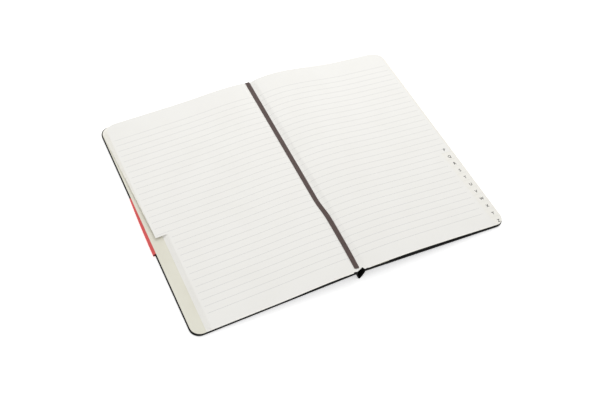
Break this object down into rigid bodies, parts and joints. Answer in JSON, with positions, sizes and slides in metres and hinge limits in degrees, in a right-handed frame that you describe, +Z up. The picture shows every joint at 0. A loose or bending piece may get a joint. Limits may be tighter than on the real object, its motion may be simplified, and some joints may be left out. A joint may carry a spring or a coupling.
{
  "type": "address book",
  "caption": "Hardcover address book lying open: black covers, soft spine, ruled leaves with a stepped alphabet thumb index, ribbon bookmark, back pocket and paper band.",
  "frame": {"origin": "on the table under the middle of the gutter", "axes": "+X across the open book to the back cover, +Y to the head of the pages, +Z up"},
  "size_m": [0.2676, 0.21, 0.0128],
  "materials": {
    "leaf_paper": "smooth uncoated",
    "endpaper": "smooth uncoated",
    "cover_skin": "fine matt grain",
    "cover_board": "raw grey board",
    "spine_skin": "fine matt grain",
    "pocket_card": "smooth",
    "gusset_cloth": "plain weave",
    "lining_cloth": "open weave",
    "thread": "twisted",
    "ribbon": "satin weave",
    "band_paper": "smooth coated"
  },
  "bodies": {
    "back_cover": {"back_board": "cover_board", "back_cover_skin": "cover_skin", "back_pastedown": "endpaper", "pocket_panel": "pocket_card", "pocket_head_gusset": "gusset_cloth", "pocket_tail_gusset": "gusset_cloth", "spine_skin": "spine_skin", "binding_lining": "lining_cloth", "sewing_thread": "thread", "sewn_back": "leaf_paper", "ribbon_bookmark": "ribbon"},
    "front_cover": {"front_board": "cover_board", "front_cover_skin": "cover_skin", "front_pastedown": "endpaper", "paper_band": "band_paper"},
    "left_leaves": {"front_flyleaf": "endpaper", "leaves_a": "leaf_paper", "leaves_b": "leaf_paper", "leaves_c": "leaf_paper", "leaves_d": "leaf_paper", "leaves_e": "leaf_paper", "leaves_f": "leaf_paper", "leaves_g": "leaf_paper", "leaves_h": "leaf_paper", "leaves_i": "leaf_paper", "leaves_j": "leaf_paper", "leaves_k": "leaf_paper", "leaves_l": "leaf_paper", "leaves_m": "leaf_paper", "leaves_n": "leaf_paper"},
    "left_top_leaf": {"leaves_o": "leaf_paper"},
    "right_leaves": {"back_flyleaf": "endpaper", "leaves_z": "leaf_paper", "leaves_y": "leaf_paper", "leaves_x": "leaf_paper", "leaves_w": "leaf_paper", "leaves_v": "leaf_paper", "leaves_u": "leaf_paper", "leaves_t": "leaf_paper", "leaves_s": "leaf_paper", "leaves_r": "leaf_paper", "leaves_q": "leaf_paper"},
    "right_top_leaf": {"leaves_p": "leaf_paper"}
  },
  "joints": [
    {"name": "front_cover_hinge", "type": "hinge", "parent": "back_cover", "child": "front_cover", "pos_m": [0, 0, 0.0155], "axis": [0, 1, 0], "range_deg": [0, 189]},
    {"name": "left_leaves_turn", "type": "hinge", "parent": "front_cover", "child": "left_leaves", "pos_m": [0, 0, 0.0155], "axis": [0, -1, 0], "range_deg": [-180, 0]},
    {"name": "left_top_leaf_turn", "type": "hinge", "parent": "left_leaves", "child": "left_top_leaf", "pos_m": [0, 0, 0.0155], "axis": [0, -1, 0], "range_deg": [-180, 0]},
    {"name": "right_leaves_turn", "type": "hinge", "parent": "back_cover", "child": "right_leaves", "pos_m": [0, 0, 0.0155], "axis": [0, 1, 0], "range_deg": [-180, 0]},
    {"name": "right_top_leaf_turn", "type": "hinge", "parent": "right_leaves", "child": "right_top_leaf", "pos_m": [0, 0, 0.0155], "axis": [0, 1, 0], "range_deg": [-180, 0]}
  ]
}
